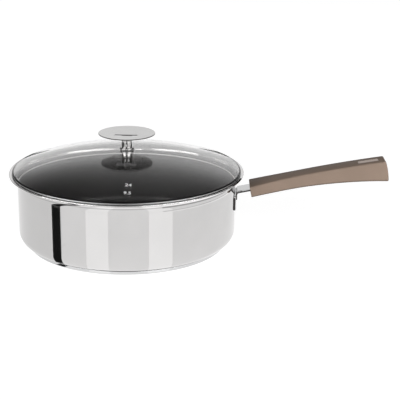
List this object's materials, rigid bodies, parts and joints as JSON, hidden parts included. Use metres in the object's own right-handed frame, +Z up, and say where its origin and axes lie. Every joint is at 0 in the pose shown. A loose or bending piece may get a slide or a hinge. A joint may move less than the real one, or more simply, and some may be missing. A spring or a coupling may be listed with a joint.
{
  "type": "saute pan with lid",
  "caption": "Straight-walled steel saute pan with a pouring rim, non-stick lining, encapsulated base, domed glass lid with a flat disc knob, and a faceted plastic handle.",
  "frame": {"origin": "centre of the pan's foot, on the surface it stands on", "axes": "+Z up along the pan's axis, +X along the handle, away from the pan"},
  "size_m": [0.4199, 0.26, 0.125],
  "materials": {
    "polished_steel": "mirror-polished stainless steel",
    "satin_steel": "finely brushed stainless steel",
    "fastener_steel": "plain",
    "lining": "satin non-stick coating",
    "spreader": "raw",
    "grip_plastic": "fine satin texture",
    "inlay": "satin",
    "lid_glass": "clear tempered",
    "silicone": "matte",
    "brass": "plain"
  },
  "bodies": {
    "pan": {"pan_shell": "polished_steel", "nonstick_lining": "lining", "heat_spreader": "spreader", "base_cup": "polished_steel", "handle_bracket": "polished_steel", "grip": "grip_plastic", "grip_insert": "brass", "grip_lock_washer": "fastener_steel", "grip_screw": "fastener_steel", "grip_inlay": "inlay"},
    "lid": {"lid_glass": "lid_glass", "knob_plate": "satin_steel", "knob_stem": "polished_steel", "knob_foot_ring": "polished_steel", "knob_seal_upper": "silicone", "knob_seal_lower": "silicone", "knob_inner_washer": "fastener_steel", "knob_screw": "fastener_steel"}
  },
  "joints": [
    {"name": "lid_lift", "type": "slide", "parent": "pan", "child": "lid", "axis": [0, 0, 1], "range_m": [0, 0.12]}
  ]
}
